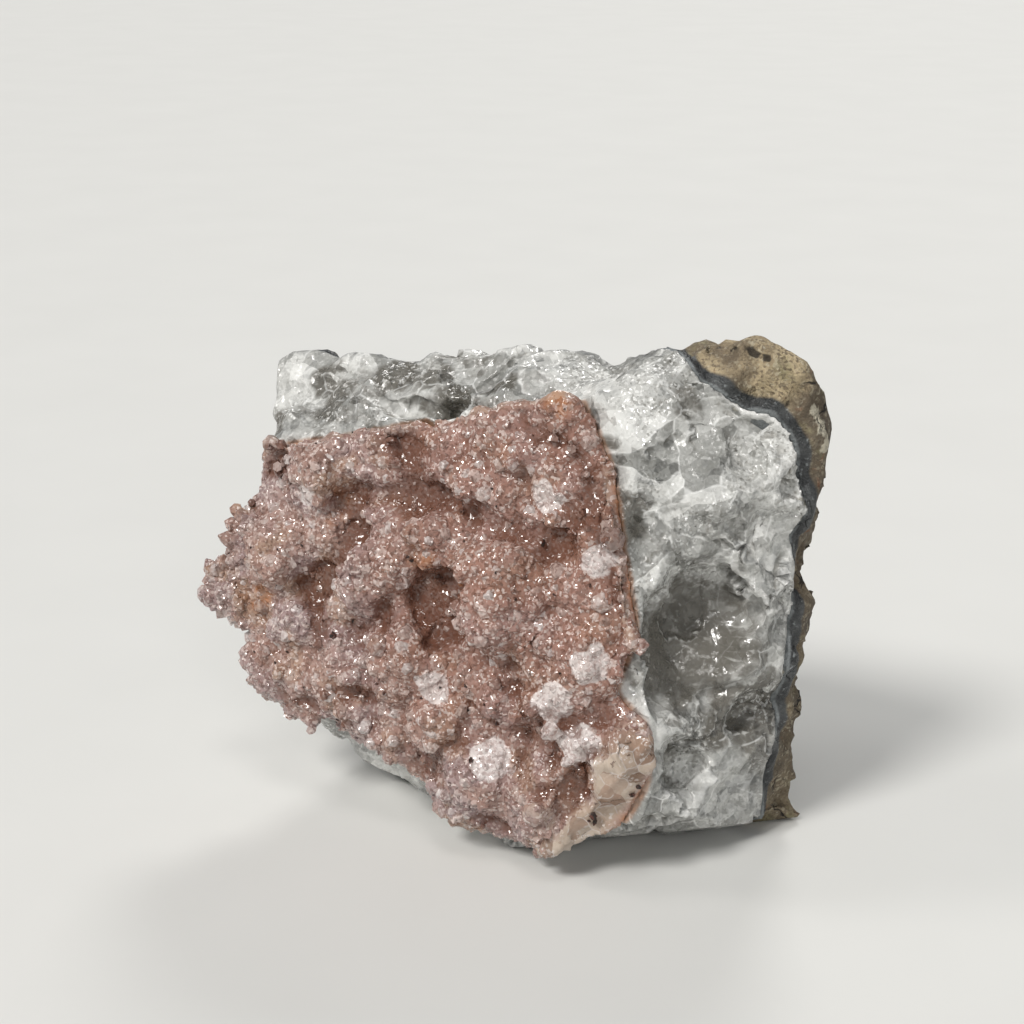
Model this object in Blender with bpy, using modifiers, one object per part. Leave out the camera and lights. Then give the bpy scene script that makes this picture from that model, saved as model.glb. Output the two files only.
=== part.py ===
"""Amethyst cluster: a hand-sized piece broken from a vein, modelled in metres with +Z up.

Three layers grew one on the other, from the wall of the vein outwards:
rock_rind, the host rock with its band of chalcedony, at the back (+Y);
quartz_body, the thick layer of massive quartz, broken on its top and right sides;
amethyst_crust, the druse of small pink crystals over rounded lumps, at the front (-Y).
The rock and the quartz are one broken block, parted where they meet. The origin is the centre
of the piece's box, on the surface that it stands on.
"""

import math
import random

import bmesh
import bpy
from mathutils import Vector, kdtree, noise

MM = 0.001

# Where one layer meets the next, as y over x and z. The gap keeps the solids apart.
LAYER_GAP = 0.3
CRUST_BACK_Y = -13.0
CRUST_BACK_LEAN = 0.09
RIND_FRONT_Y = 18.0
RIND_FRONT_TURN = 0.05
RIND_FRONT_BOW = -0.0018
RIND_FRONT_LEAN = -0.04
# The rock comes forward over the top right corner as a knob: x, z, how far and how wide.
KNOB_X = 37.0
KNOB_Z = 91.0
KNOB_FORWARD = 15.0
KNOB_REACH = 10.0
LAYER_WAVE = 1.2
LAYER_WAVE_LENGTH = 24.0

# Corners of the broken block behind the druse, in millimetres. The ground cuts off what is under z = 0.
BLOCK_CORNERS = (
    # round the back of the druse
    (14, -9, 80), (18, -9, 75), (23, -10, 66), (26, -12, 50), (25, -13, 36), (31, -14, 24), (29, -14, 14),
    (14, -14, 9), (-4, -13, 12), (-15, -13, 16), (-28, -13, 20), (-42, -12, 26), (-45, -11, 38),
    (-47, -9, 52), (-47, -8, 64), (-26, -9, 66),
    # the top, with the knob at its right end
    (-52, 8, 76.5), (-33, 12, 75), (-18, 13, 74.5), (2, 12, 77), (28, 10, 80), (34, 10, 82.5),
    (41, 11, 89.5), (46.5, 13, 87), (49, 15, 81), (47.5, 20, 76), (37, 6, 79.5), (43, 7, 76.5),
    # the right side
    (42, 17, 70), (44.5, 25, 66), (44, 25, 45), (44.5, 26, 30), (43, 27, 12), (42, 28, -6), (37, 2, 10),
    # the back
    (30, 31, 70), (28, 33, 34), (4, 34, 44), (-18, 31, 60), (-14, 31, 12), (20, 31, -6), (-46, 22, 58),
    (-43, 26, 34), (-51, 12, 73), (-36, 24, -6),
    # the foot
    (8, -6, -6), (-6, 0, -6), (-30, 11, -6), (24, 6, -6),
)
# Outline of the druse seen from the front, x and z.
CRUST_OUTLINE = (
    (-45, 66), (-26, 68), (-15, 72), (-5, 74), (4, 79), (15, 83), (19, 78), (24, 70), (25, 60), (30, 51),
    (29, 42), (26, 34), (34, 28), (36, 22), (34, 14), (25, 9), (17, 6), (9, 4), (1, 4), (-6, 9), (-15, 13),
    (-28, 17), (-37, 17), (-45, 21), (-47, 26), (-45, 31), (-53, 32), (-57.5, 35.5), (-52, 44), (-48, 51),
    (-46, 60),
)
CRUST_FRONT_Y = -17.0
CRUST_FRONT_LEAN = 0.10
CRUST_PLATE = 12.0
# Lumps of the druse: x, z, radius and how far each stands out of the plate.
LUMPS = (
    (6.0, 49.0, 10.0, 1.0), (-33.0, 61.0, 8.5, -2.0), (-42.0, 46.0, 9.0, -1.0), (-17.0, 67.0, 7.5, -2.0),
    (-20.0, 46.0, 8.0, 0.5), (-10.0, 54.0, 7.5, 0.0), (8.0, 72.0, 9.0, -3.0), (-2.0, 66.0, 7.0, -1.0),
    (21.0, 61.0, 6.0, -1.0), (-39.0, 25.0, 8.5, -1.0), (-25.0, 25.0, 8.0, 0.0), (-31.0, 35.0, 7.5, 0.0),
    (-12.0, 34.0, 8.5, 0.5), (-4.0, 21.0, 7.5, 0.0), (2.0, 14.5, 7.5, -0.5), (16.0, 15.0, 7.0, 0.0),
    (16.0, 31.0, 6.5, 1.0), (22.0, 40.0, 6.5, 0.0), (4.0, 30.0, 7.0, -1.0), (22.0, 24.0, 5.5, 0.5),
    (-50.5, 36.5, 6.0, -1.0), (-16.0, 19.0, 6.0, -1.5),
)
LUMP_FLATTENING = 0.8
LUMP_SINKING = 0.35
# Hollows left where pieces of quartz broke out: centre and radii.
HOLLOWS = (
    ((40, -3, 43), (12, 13, 17)),
    ((47, 6, 15), (7, 7, 5)),
    ((-10, -4, 90), (16, 9, 11)),
    ((27, -10, 84), (8, 8, 9)),
)
# Planes along which the druse broke off: a point and the way out of the piece.
CRUST_BREAKS = (
    ((27, -15.5, 21), (0.5, -0.82, -0.25)),
    ((30, -14, 45), (0.97, 0.1, 0.22)),
    ((-15, -11, 73.5), (-0.27, 0.25, 0.93)),
)
# The underside of the front right corner, which stands clear of the ground.
UNDERCUT = ((6, -8, 0), (0.42, -0.42, -1.0))
# Crystals: height over the width of the cell, and how far a tip leans.
CRYSTAL_HEIGHT = (0.35, 0.85)
CRYSTAL_LEAN = 0.16
# Crystals on the left rim stand out farther, by this part of their height.
RIM_GROWTH = 0.9
CRYSTAL_TALLEST = 3.2
# A crystal in a fold between lumps stays lower by this much for each unit of the fold's depth.
FOLD_CROWDING = 1.8
# The druse has no crystals this close to its back.
BARE_EDGE = 1.0
# A face whose centre is this close to a plane lies on it.
FLAT = 0.05
# The block of space in which the chips' centres are drawn, as spans along x, y and z.
CHIP_FIELD = ((-65, 60), (-35, 40), (-12, 100))
# Chips of the broken block and of the druse: width, depth, tilt and seed.
BLOCK_CHIPS = ((13.0, 1.2, 0.25, 11), (6.5, 0.7, 0.3, 12))
CRUST_CHIPS = (3.0, 0.55, 0.3, 31)
# Grain of the meshes while they are shaped, and the triangles that are left of them.
COARSE_GRAIN = 2.0
BLOCK_GRAIN = 1.6
BLOCK_TRIANGLES = 4600
CRUST_GRAIN = 1.0
CRUST_TRIANGLES = 1900
CRYSTAL_SEED = 5
# Reach of the cutters, wider than the object.
CUTTER_REACH = 240.0
LAYER_GRID = (20, 18)
LAYER_GRID_HALF = 80.0
LAYER_GRID_MIDDLE_Z = 40.0


def clear_scene():
    for obj in list(bpy.data.objects):
        bpy.data.objects.remove(obj)


def collection(name):
    made = bpy.data.collections.new(name)
    bpy.context.scene.collection.children.link(made)
    return made


def material(name, colour, roughness, transmission=0.0):
    made = bpy.data.materials.new(name)
    made.use_nodes = True
    shader = made.node_tree.nodes["Principled BSDF"]
    shader.inputs["Base Color"].default_value = (*colour, 1.0)
    shader.inputs["Roughness"].default_value = roughness
    shader.inputs["Metallic"].default_value = 0.0
    shader.inputs["Transmission Weight"].default_value = transmission
    shader.inputs["IOR"].default_value = 1.54
    return made


def object_of(name, bm, into):
    mesh = bpy.data.meshes.new(name)
    bm.to_mesh(mesh)
    bm.free()
    obj = bpy.data.objects.new(name, mesh)
    into.objects.link(obj)
    return obj


def object_like(name, other, into):
    made = bpy.data.objects.new(name, other.data.copy())
    into.objects.link(made)
    return made


def bake(obj):
    """Applies the modifiers of an object, so that code can go on from the shape they made."""
    graph = bpy.context.evaluated_depsgraph_get()
    mesh = bpy.data.meshes.new_from_object(obj.evaluated_get(graph))
    obj.modifiers.clear()
    obj.data = mesh


def remesh(obj, voxel):
    modifier = obj.modifiers.new("remesh", "REMESH")
    modifier.mode = "VOXEL"
    modifier.voxel_size = voxel * MM
    bake(obj)


def thin_out(obj, triangles):
    """Lowers the mesh to about this many triangles, which leaves flat facets."""
    obj.data.calc_loop_triangles()
    modifier = obj.modifiers.new("thin out", "DECIMATE")
    modifier.ratio = min(1.0, triangles / len(obj.data.loop_triangles))
    modifier.use_collapse_triangulate = True
    bake(obj)


def hull(name, corners, into):
    bm = bmesh.new()
    for corner in corners:
        bm.verts.new(Vector(corner) * MM)
    made = bmesh.ops.convex_hull(bm, input=bm.verts)
    inside = [v for v in made["geom_interior"] if isinstance(v, bmesh.types.BMVert)]
    bmesh.ops.delete(bm, geom=inside, context="VERTS")
    bmesh.ops.recalc_face_normals(bm, faces=bm.faces)
    return object_of(name, bm, into)


def fracture(obj, chip, depth, tilt, seed):
    """Moves the surface as flat chips about this wide, each higher or lower and tilted its own way."""
    draw = random.Random(seed)
    count = int(math.prod(high - low for low, high in CHIP_FIELD) / chip**3)
    centres = [Vector(draw.uniform(*span) for span in CHIP_FIELD) * MM for _ in range(count)]
    tilts = [Vector(draw.uniform(-tilt, tilt) for _ in range(3)) for _ in range(count)]
    rises = [draw.uniform(-depth, depth) * MM for _ in range(count)]
    tree = kd_tree(centres)
    limit = 1.5 * depth * MM
    normals = [v.normal.copy() for v in obj.data.vertices]
    for vertex, normal in zip(obj.data.vertices, normals):
        centre, index, _ = tree.find(vertex.co)
        shift = rises[index] + tilts[index].dot(vertex.co - centre)
        vertex.co += normal * max(-limit, min(limit, shift))


def kd_tree(points):
    tree = kdtree.KDTree(len(points))
    for index, point in enumerate(points):
        tree.insert(point, index)
    tree.balance()
    return tree


def crust_back(x, z):
    wave = LAYER_WAVE * noise.noise(Vector((x / LAYER_WAVE_LENGTH, 3.1, z / LAYER_WAVE_LENGTH)))
    return CRUST_BACK_Y + CRUST_BACK_LEAN * z + wave


def rind_front(x, z):
    wave = LAYER_WAVE * noise.noise(Vector((x / LAYER_WAVE_LENGTH, 7.7, z / LAYER_WAVE_LENGTH)))
    away = ((x - KNOB_X) ** 2 + (z - KNOB_Z) ** 2) / (2 * KNOB_REACH**2)
    plain = RIND_FRONT_Y + RIND_FRONT_TURN * x + RIND_FRONT_BOW * x * x + RIND_FRONT_LEAN * z
    return plain + wave - KNOB_FORWARD * math.exp(-away)


def layer_block(name, surface, side, into):
    """All that is on one side of a surface between layers: side is 1 for the back, -1 for the front."""
    bm = bmesh.new()
    bmesh.ops.create_grid(bm, x_segments=LAYER_GRID[0], y_segments=LAYER_GRID[1], size=LAYER_GRID_HALF * MM)
    bmesh.ops.triangulate(bm, faces=bm.faces, quad_method="FIXED")
    for vertex in bm.verts:
        x, z = vertex.co.x / MM, vertex.co.y / MM + LAYER_GRID_MIDDLE_Z
        vertex.co = Vector((x, surface(x, z) - side * LAYER_GAP / 2, z)) * MM
    made = bmesh.ops.extrude_face_region(bm, geom=bm.faces[:])
    moved = [v for v in made["geom"] if isinstance(v, bmesh.types.BMVert)]
    bmesh.ops.translate(bm, verts=moved, vec=(0, side * CUTTER_REACH / 2 * MM, 0))
    bmesh.ops.recalc_face_normals(bm, faces=bm.faces)
    return cutter(object_of(name, bm, into))


def half_space(name, point, outward, into):
    """A block that starts at a plane and covers all that lies outward of it."""
    bm = bmesh.new()
    bmesh.ops.create_cube(bm, size=CUTTER_REACH * MM)
    bmesh.ops.translate(bm, verts=bm.verts, vec=(0, 0, CUTTER_REACH / 2 * MM))
    turn = Vector((0, 0, 1)).rotation_difference(Vector(outward)).to_matrix()
    bmesh.ops.rotate(bm, verts=bm.verts, matrix=turn)
    bmesh.ops.translate(bm, verts=bm.verts, vec=Vector(point) * MM)
    return cutter(object_of(name, bm, into))


def hollow(name, centre, radii, into):
    bm = bmesh.new()
    bmesh.ops.create_icosphere(bm, subdivisions=2, radius=1.0)
    bmesh.ops.scale(bm, verts=bm.verts, vec=Vector(radii) * MM)
    bmesh.ops.translate(bm, verts=bm.verts, vec=Vector(centre) * MM)
    return cutter(object_of(name, bm, into))


def cutter(obj):
    obj.hide_render = True
    obj.display_type = "WIRE"
    return obj


def cut(obj, *cutters, solver="EXACT"):
    for other in cutters:
        modifier = obj.modifiers.new(other.name, "BOOLEAN")
        modifier.operation = "DIFFERENCE"
        modifier.object = other
        modifier.solver = solver


def make_block(name, into, cutters):
    """The quartz and the rock behind it as one block, broken all round."""
    block = hull(name, BLOCK_CORNERS, into)
    cut(block, *[hollow(f"hollow_{n}", centre, radii, cutters) for n, (centre, radii) in enumerate(HOLLOWS)])
    bake(block)
    remesh(block, COARSE_GRAIN)
    for chips in BLOCK_CHIPS:
        fracture(block, *chips)
    remesh(block, BLOCK_GRAIN)
    thin_out(block, BLOCK_TRIANGLES)
    return block


def crust_plate():
    """The flat part of the druse: its outline, leaning back, and thick enough to reach behind its back."""
    bm = bmesh.new()
    for x, z in CRUST_OUTLINE:
        bm.verts.new(Vector((x, CRUST_FRONT_Y + CRUST_FRONT_LEAN * z, z)) * MM)
    face = bm.faces.new(bm.verts)
    made = bmesh.ops.extrude_face_region(bm, geom=[face])
    moved = [v for v in made["geom"] if isinstance(v, bmesh.types.BMVert)]
    bmesh.ops.translate(bm, verts=moved, vec=(0, CRUST_PLATE * MM, 0))
    bmesh.ops.recalc_face_normals(bm, faces=bm.faces)
    return bm


def make_crust(into):
    bm = crust_plate()
    for x, z, radius, stand in LUMPS:
        made = bmesh.ops.create_icosphere(bm, subdivisions=3, radius=radius * MM)
        bmesh.ops.scale(bm, verts=made["verts"], vec=(1.0, LUMP_FLATTENING, 1.0))
        y = CRUST_FRONT_Y + CRUST_FRONT_LEAN * z - stand + LUMP_FLATTENING * LUMP_SINKING * radius
        bmesh.ops.translate(bm, verts=made["verts"], vec=Vector((x, y, z)) * MM)
    crust = object_of("amethyst_crust", bm, into)
    remesh(crust, CRUST_GRAIN)
    fracture(crust, *CRUST_CHIPS)
    thin_out(crust, CRUST_TRIANGLES)
    return crust


def cells(obj):
    """Turns the triangles into many-sided cells, one for each crystal."""
    group = bpy.data.node_groups.new("cells", "GeometryNodeTree")
    group.interface.new_socket("Geometry", in_out="INPUT", socket_type="NodeSocketGeometry")
    group.interface.new_socket("Geometry", in_out="OUTPUT", socket_type="NodeSocketGeometry")
    start = group.nodes.new("NodeGroupInput")
    dual = group.nodes.new("GeometryNodeDualMesh")
    end = group.nodes.new("NodeGroupOutput")
    group.links.new(start.outputs[0], dual.inputs["Mesh"])
    group.links.new(dual.outputs[0], end.inputs[0])
    obj.modifiers.new("cells", "NODES").node_group = group
    bake(obj)


def on_a_break(point):
    """True on the flat faces where the druse broke off, which have no crystals."""
    for start, outward in CRUST_BREAKS:
        if abs((point / MM - Vector(start)).dot(Vector(outward).normalized())) < FLAT:
            return True
    return point.z / MM < FLAT


def crowding(face, centre):
    """How far the neighbours of a cell rise over it, as a part of their distance: more in a fold."""
    rises = []
    for edge in face.edges:
        for other in edge.link_faces:
            if other is not face:
                step = other.calc_center_median() - centre
                rises.append(max(0.0, step.dot(face.normal) / step.length))
    return max(rises)


def grow_crystals(obj, seed):
    """Raises a crystal tip with flat sides on each cell of the druse's open front."""
    draw = random.Random(seed)
    bm = bmesh.new()
    bm.from_mesh(obj.data)
    grown = []
    for face in bm.faces:
        centre = face.calc_center_median()
        back = crust_back(centre.x / MM, centre.z / MM) - BARE_EDGE
        if centre.y / MM < back and not on_a_break(centre):
            width = math.sqrt(face.calc_area()) * max(0.0, 1.0 - FOLD_CROWDING * crowding(face, centre))
            grown.append((face, face.normal.copy(), width))
    for face, normal, width in grown:
        tip = bmesh.ops.poke(bm, faces=[face])["verts"][0]
        lean = Vector(draw.uniform(-CRYSTAL_LEAN, CRYSTAL_LEAN) for _ in range(3))
        height = draw.uniform(*CRYSTAL_HEIGHT) * (1.0 + RIM_GROWTH * max(0.0, -normal.x)) * width
        tip.co += normal * min(height, CRYSTAL_TALLEST * MM) + lean * width
    bm.to_mesh(obj.data)
    bm.free()


def stand_on_origin(parts, cutters):
    """Puts the origin at the middle of the underside of the object's box: one empty carries everything."""
    bpy.context.view_layer.update()
    graph = bpy.context.evaluated_depsgraph_get()
    corners = [Vector(c) for part in parts for c in part.evaluated_get(graph).bound_box]
    low = Vector(min(c[i] for c in corners) for i in range(3))
    high = Vector(max(c[i] for c in corners) for i in range(3))
    footprint = bpy.data.objects.new("footprint", None)
    parts[0].users_collection[0].objects.link(footprint)
    footprint.location = (-(low.x + high.x) / 2, -(low.y + high.y) / 2, -low.z)
    for obj in parts + list(cutters.objects):
        obj.parent = footprint


def main():
    clear_scene()
    cluster = collection("amethyst cluster")
    cutters = collection("cutters")
    ground = half_space("ground", (0, 0, 0), (0, 0, -1), cutters)
    undercut = half_space("undercut", *UNDERCUT, cutters)

    quartz = make_block("quartz_body", cluster, cutters)
    rind = object_like("rock_rind", quartz, cluster)
    cut(
        quartz,
        layer_block("in_front_of_quartz", crust_back, -1, cutters),
        layer_block("behind_quartz", rind_front, 1, cutters),
        undercut,
        ground,
    )
    cut(rind, layer_block("in_front_of_rind", rind_front, -1, cutters), undercut, ground)
    quartz.data.materials.append(material("massive quartz", (0.62, 0.64, 0.62), 0.25, 0.3))
    rind.data.materials.append(material("host rock", (0.23, 0.19, 0.13), 0.8))

    crust = make_crust(cluster)
    cells(crust)
    breaks = [half_space(f"crust_break_{n}", p, d, cutters) for n, (p, d) in enumerate(CRUST_BREAKS)]
    behind = layer_block("behind_crust", crust_back, 1, cutters)
    # The cells aren't flat, and the exact solver loses the solid on them.
    cut(crust, behind, *breaks, ground, solver="MANIFOLD")
    bake(crust)
    grow_crystals(crust, CRYSTAL_SEED)
    crust.data.materials.append(material("pink amethyst", (0.62, 0.40, 0.37), 0.15, 0.5))

    stand_on_origin([quartz, rind, crust], cutters)


main()
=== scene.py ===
import math

import bmesh
import bpy
import numpy as np
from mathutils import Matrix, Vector, bvhtree, kdtree, noise


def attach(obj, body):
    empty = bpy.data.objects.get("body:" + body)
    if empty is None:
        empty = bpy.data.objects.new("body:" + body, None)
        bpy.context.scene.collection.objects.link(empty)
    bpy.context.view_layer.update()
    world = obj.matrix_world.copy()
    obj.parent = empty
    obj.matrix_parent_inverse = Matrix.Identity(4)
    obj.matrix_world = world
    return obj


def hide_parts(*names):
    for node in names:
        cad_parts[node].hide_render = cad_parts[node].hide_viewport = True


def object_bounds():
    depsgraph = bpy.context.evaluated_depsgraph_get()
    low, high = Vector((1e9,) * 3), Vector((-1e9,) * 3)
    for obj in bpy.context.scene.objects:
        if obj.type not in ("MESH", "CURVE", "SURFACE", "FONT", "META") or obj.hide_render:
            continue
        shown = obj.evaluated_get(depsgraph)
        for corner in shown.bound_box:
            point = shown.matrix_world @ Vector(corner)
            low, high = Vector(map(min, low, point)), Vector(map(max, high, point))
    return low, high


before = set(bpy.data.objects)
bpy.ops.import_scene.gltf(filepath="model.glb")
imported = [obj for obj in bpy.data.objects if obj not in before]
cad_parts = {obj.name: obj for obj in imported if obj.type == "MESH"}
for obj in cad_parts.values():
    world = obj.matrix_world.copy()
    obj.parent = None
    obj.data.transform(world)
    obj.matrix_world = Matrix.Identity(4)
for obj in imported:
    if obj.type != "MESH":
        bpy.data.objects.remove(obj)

cad_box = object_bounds()
# Places, widths and depths are in millimetres. Those that a mesh or a material takes are times MM.
MM = 0.001

# The host rock is the wall of the vein: brown, rusty and sandy, with olive clay and cream streaks, and
# broken rough all round, with open cracks in its knob. Towards the quartz it is lined with chalcedony,
# slate-coloured and about 2 mm thick, which was laid down in fine lines.
ROCK_GRAIN = 0.75 * MM
NEAR_SCOOPS = 10
HALF_GAP = 0.15 * MM
# The breaks of the rock, from coarse to fine: width, depth, lean and seed.
ROCK_CHIPS = ((9.0, 2.8, 0.6, 21), (4.0, 1.3, 0.6, 22), (2.0, 0.45, 0.6, 23))
ROCK_CHIPPED_AWAY = 0.3
OUTMOST_ROCK = 0.7
# Its roughness: width, height and seed.
ROCK_ROUGHNESS = ((1.7, 0.35, 24), (3.2, 0.4, 25))
BAND_CALM = 0.8
LINES_CLOSE = 17.0
# Cream streaks in the rock: from, to and half width.
CREAM_STREAKS = (
    ((53.0, 7.0, 79.0), (53.6, 8.6, 73.0), 1.3),
    ((46.0, 28.0, 34.0), (38.0, 28.0, 24.0), 2.2),
    ((14.0, 27.5, 62.0), (-2.0, 27.5, 57.0), 2.0),
)
# Open cracks in the knob: from, to and half width.
SPLITS = (
    ((43.4, 2.2, 88.4), (46.4, 2.8, 87.4), 0.9),
    ((48.5, 3.0, 84.0), (50.5, 4.0, 79.0), 0.8),
)
STREAK_HEIGHT = 0.25
STREAK_WOBBLE = 0.9
SPLIT_DEPTH = 0.9
CLEFT = (50.4, 3.6, 75.4)
CLEFT_REACH = 4.0
CLEFT_DEPTH = 2.2
KNOB = (44.5, 2.0, 87.0)
KNOB_REACH = 16.0

GOLDEN_BROWN = (0.50, 0.40, 0.25)
DARK_BROWN = (0.15, 0.115, 0.075)
OLIVE = (0.30, 0.27, 0.15)
# Painted shade: the dark umber laid over the rock away from its knob.
SHADE_UMBER = (0.10, 0.08, 0.06)
CREAM = (0.56, 0.50, 0.37)
PALE_CREAM = (0.74, 0.70, 0.58)
RUST = (0.25, 0.085, 0.03)
CRACK_BLACK = (0.015, 0.012, 0.01)
SLATE = (0.075, 0.079, 0.080)
SLATE_DARK = (0.024, 0.026, 0.028)
BLUE_WHITE = (0.40, 0.43, 0.44)


def bake(obj):
    """Applies the modifiers of an object."""
    graph = bpy.context.evaluated_depsgraph_get()
    mesh = bpy.data.meshes.new_from_object(obj.evaluated_get(graph))
    obj.modifiers.clear()
    obj.data = mesh


def even_out(obj, grain):
    """Makes an object one closed mesh of small even faces, also where parts of it overlap."""
    remesh = obj.modifiers.new("grain", "REMESH")
    remesh.mode = "VOXEL"
    remesh.voxel_size = grain
    remesh.use_smooth_shade = True
    bake(obj)
    obj.data.materials.clear()


def close_copy(node, name, grain):
    """A copy of a node of the frame as one closed mesh of small even faces."""
    obj = bpy.data.objects.new(name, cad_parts[node].data.copy())
    bpy.context.scene.collection.objects.link(obj)
    bm = bmesh.new()
    bm.from_mesh(obj.data)
    bmesh.ops.remove_doubles(bm, verts=bm.verts, dist=0.001 * MM)
    bm.to_mesh(obj.data)
    bm.free()
    even_out(obj, grain)
    return obj


def places(obj):
    """The vertices of an object in millimetres."""
    found = np.empty(len(obj.data.vertices) * 3)
    obj.data.vertices.foreach_get("co", found)
    return found.reshape(-1, 3) / MM


def normals(obj):
    """The way that each vertex of an object looks."""
    found = np.empty(len(obj.data.vertices) * 3)
    obj.data.vertices.foreach_get("normal", found)
    return found.reshape(-1, 3)


def put(obj, points):
    """Gives an object's vertices these places, none of them below the floor."""
    points = np.column_stack([points[:, :2], np.maximum(points[:, 2], 0.0)])
    obj.data.vertices.foreach_set("co", (points * MM).ravel())
    obj.data.update()


def swell(obj, heights):
    """Moves each vertex out along its normal, in millimetres."""
    put(obj, places(obj) + normals(obj) * np.asarray(heights)[:, None])


def soften(obj, rounds):
    """The places that the vertices would have after this many rounds of smoothing."""
    smooth = obj.modifiers.new("smooth", "SMOOTH")
    smooth.iterations = rounds
    smooth.factor = 0.5
    graph = bpy.context.evaluated_depsgraph_get()
    mesh = obj.evaluated_get(graph).to_mesh()
    found = np.empty(len(mesh.vertices) * 3)
    mesh.vertices.foreach_get("co", found)
    obj.modifiers.clear()
    return found.reshape(-1, 3) / MM


def step(values, low, high):
    """Rises smoothly from 0 at low to 1 at high."""
    part = np.clip((np.asarray(values) - low) / (high - low), 0.0, 1.0)
    return part * part * (3.0 - 2.0 * part)


def near(points, centre, reach):
    """1 at a centre, falling to 0 at its reach."""
    away = np.linalg.norm(points - np.array(centre), axis=1)
    return 1.0 - step(away, 0.35 * reach, reach)


def along(points, start, end):
    """How far each point is from a line between two points."""
    start = np.array(start)
    way = np.array(end) - start
    part = np.clip(((points - start) @ way) / (way @ way), 0.0, 1.0)
    return np.linalg.norm(points - start - part[:, None] * way, axis=1)


def tree_of(points):
    """Finds the nearest of these points."""
    tree = kdtree.KDTree(len(points))
    for index, point in enumerate(points):
        tree.insert(point, index)
    tree.balance()
    return tree


def scatter(points, width, seed, stretch):
    """Random centres about this far apart all round the points, and the points as stretched."""
    draw = np.random.default_rng(seed)
    scaled = points * np.array(stretch)
    low = scaled.min(0) - width
    high = scaled.max(0) + width
    centres = draw.uniform(low, high, (int(np.prod((high - low) / width)), 3))
    return draw, scaled, centres


def chip_tones(points, width, seed, lowest, highest, stretch=(1.0, 1.0, 1.0)):
    """Splits space into irregular chips about this wide, and gives each point its chip's random number."""
    draw, scaled, centres = scatter(points, width, seed, stretch)
    tree = tree_of(centres)
    chip = np.array([tree.find(p)[1] for p in scaled])
    return draw.uniform(lowest, highest, len(centres))[chip]


def scoops(points, width, depth, lean, seed, stretch=(1.0, 1.0, 1.0)):
    """Heights of a surface broken like glass: shallow scoops about this wide that meet in sharp ridges.
    With a depth below 0 they are domes that meet in folds."""
    draw, scaled, centres = scatter(points, width, seed, stretch)
    leans = draw.normal(0.0, lean, centres.shape)
    tree = tree_of(centres)
    nearest = np.array([[hit[1] for hit in tree.find_n(p, NEAR_SCOOPS)] for p in scaled])
    way = (scaled[:, None, :] - centres[nearest]) / width
    level = ((way + leans[nearest]) * way).sum(2).min(1)
    return depth * (level - level.mean())


def clouds(points, size, seed):
    """Smooth noise from -1 to 1 with lumps about this wide."""
    shift = Vector((seed * 7.31, seed * 3.17, seed * 5.53))
    return np.array([noise.noise(Vector(p) / size + shift) for p in points])


def distance_to(points, node, reach=40.0):
    """How far each point is from a node of the frame, in millimetres."""
    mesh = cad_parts[node].data
    tree = bvhtree.BVHTree.FromPolygons(
        [v.co / MM for v in mesh.vertices], [p.vertices[:] for p in mesh.polygons]
    )
    far = [tree.find_nearest(Vector(p), reach)[3] for p in points]
    return np.array([reach if d is None else d for d in far])


def mark(obj, name, values):
    """Keeps a number for each vertex, which the materials read by its name."""
    made = obj.data.attributes.new(name, "FLOAT", "POINT")
    made.data.foreach_set("value", np.asarray(values, dtype=np.float32))


class Wire:
    """A socket of a material. Arithmetic on it adds Math nodes."""

    def __init__(self, paint, socket):
        self.paint = paint
        self.socket = socket

    def maths(self, operation, *values):
        return self.paint.node("Math", {"operation": operation}, dict(enumerate(values)))

    def __add__(self, other):
        return self.maths("ADD", self, other)

    def __sub__(self, other):
        return self.maths("SUBTRACT", self, other)

    def __rsub__(self, other):
        return self.maths("SUBTRACT", other, self)

    def __mul__(self, other):
        return self.maths("MULTIPLY", self, other)

    __radd__ = __add__
    __rmul__ = __mul__


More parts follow.
